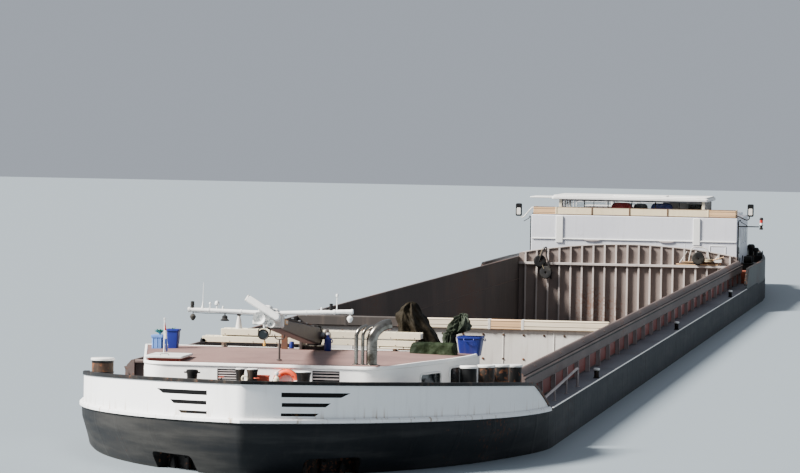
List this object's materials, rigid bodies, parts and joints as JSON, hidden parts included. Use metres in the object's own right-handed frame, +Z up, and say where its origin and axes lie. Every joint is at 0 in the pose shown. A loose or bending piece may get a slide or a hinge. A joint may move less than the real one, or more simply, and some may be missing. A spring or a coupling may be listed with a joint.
{
  "type": "inland bulk carrier, 1:10 scale model",
  "caption": "Long flat-bottomed river bulk carrier with an open divided hold, fore deckhouse with folding radar mast and a lifting wheelhouse aft.",
  "frame": {"origin": "middle of the flat bottom's plane, halfway along the length", "axes": "+Z up, +Y aft, +X to port"},
  "size_m": [1.1564, 11.016, 0.727],
  "materials": {
    "hull_paint": "worn near-black bottom paint, semi-matt",
    "bulwark_white": "white gloss paint with rust streaks",
    "rail_black": "black paint, worn to grey",
    "deck_grey": "grey-blue deck paint, scuffed",
    "coaming_brown": "brown paint with dark red panels and pale stays",
    "hold_steel": "bare rusty plate",
    "bulkhead_plate": "pinkish grey paint, dusty",
    "wood": "varnished wood, weathered",
    "white_paint": "white gloss paint",
    "roof_red": "faded red-brown deck paint",
    "steel": "polished stainless steel",
    "dark_fittings": "black paint, rubbed and rusty",
    "mast_taupe": "dark taupe paint",
    "tarpaulin": "crumpled olive tarpaulin",
    "blue_plastic": "royal blue moulded plastic",
    "lifebuoy_orange": "orange-red with white bands",
    "bronze": "cast bronze",
    "beige_paint": "cream paint"
  },
  "bodies": {
    "ship": {"hull_bow": "hull_paint", "bow_bulwark": "bulwark_white", "bow_cap_rail": "rail_black", "bow_strake": "bulwark_white", "fore_deck": "deck_grey", "double_bottom": "hold_steel", "side_tank_port": "hull_paint", "side_tank_starboard": "hull_paint", "coaming_port": "coaming_brown", "coaming_starboard": "coaming_brown", "coaming_fore": "coaming_brown", "aft_bulkhead": "bulkhead_plate", "hold_divider": "white_paint", "divider_beam": "wood", "fore_deckhouse": "white_paint", "fore_roof": "roof_red", "skylight_coaming": "dark_fittings", "exhausts": "steel", "mast_pedestal": "mast_taupe", "bow_bollards_port": "dark_fittings", "bow_bollard_starboard": "dark_fittings", "coaming_bollard": "dark_fittings", "windlass": "dark_fittings", "lifebuoy": "lifebuoy_orange", "gangway": "beige_paint", "roof_crates": "blue_plastic", "port_tub": "blue_plastic", "covered_box": "tarpaulin", "tarpaulin_bundle": "tarpaulin", "dark_tarpaulin": "tarpaulin", "anchor_port": "dark_fittings", "anchor_starboard": "dark_fittings", "hull_mid": "hull_paint", "hull_mid_port": "hull_paint", "hull_mid_starboard": "hull_paint", "lift_shaft_floor": "hull_paint", "hull_stern": "hull_paint", "engine": "dark_fittings", "stern_bulwark": "bulwark_white", "nozzle": "hull_paint", "aft_house_front": "white_paint", "aft_house_port": "white_paint", "aft_house_starboard": "white_paint", "aft_house_rear": "white_paint", "roof_shield": "beige_paint", "stern_winch": "dark_fittings"},
    "mast": {"mast_arm": "mast_taupe", "mast_yard": "white_paint", "radar_gearbox": "white_paint"},
    "scanner": {"radar_scanner": "white_paint"},
    "skylight": {"skylight_lid": "white_paint"},
    "screw": {"propeller": "bronze"},
    "port_rudder": {"rudder_port": "hull_paint"},
    "starboard_rudder": {"rudder_starboard": "hull_paint"},
    "wheelhouse": {"wheelhouse_cabin": "white_paint", "wheelhouse_roof": "white_paint", "wheelhouse_ram": "steel", "helm_console": "dark_fittings"},
    "cabin_door": {"wheelhouse_door": "white_paint"},
    "house_door": {"aft_house_door": "white_paint"}
  },
  "joints": [
    {"name": "mast_fold", "type": "hinge", "parent": "ship", "child": "mast", "pos_m": [0.03, -4.73, 0.55], "axis": [-1, 0, 0], "range_deg": [0, 78]},
    {"name": "scanner_spin", "type": "hinge", "parent": "mast", "child": "scanner", "pos_m": [0.016, -5.32965, 0.64306], "axis": [0, -0.9948, 0.1015], "continuous": true},
    {"name": "skylight_hinge", "type": "hinge", "parent": "ship", "child": "skylight", "pos_m": [-0.233, -5.1085, 0.5175], "axis": [-1, 0, 0], "range_deg": [0, 70]},
    {"name": "propeller_spin", "type": "hinge", "parent": "ship", "child": "screw", "pos_m": [0, 5.04, 0.108], "axis": [0, 1, 0], "continuous": true},
    {"name": "rudder_port_turn", "type": "hinge", "parent": "ship", "child": "port_rudder", "pos_m": [0.062, 5.155, 0.108], "axis": [0, 0, 1], "range_deg": [-45, 45]},
    {"name": "rudder_starboard_turn", "type": "hinge", "parent": "ship", "child": "starboard_rudder", "pos_m": [-0.062, 5.155, 0.108], "axis": [0, 0, 1], "range_deg": [-45, 45]},
    {"name": "wheelhouse_lift", "type": "slide", "parent": "ship", "child": "wheelhouse", "axis": [0, 0, 1], "range_m": [0, 0.27]},
    {"name": "cabin_door_slide", "type": "slide", "parent": "wheelhouse", "child": "cabin_door", "axis": [-1, 0, 0], "range_m": [0, 0.1]},
    {"name": "house_door_hinge", "type": "hinge", "parent": "ship", "child": "house_door", "pos_m": [-0.152, 4.886, 0.45], "axis": [0, 0, 1], "range_deg": [0, 100]}
  ],
  "couplings": [
    {"joint": "rudder_starboard_turn", "follows": "rudder_port_turn", "ratio": 1}
  ]
}
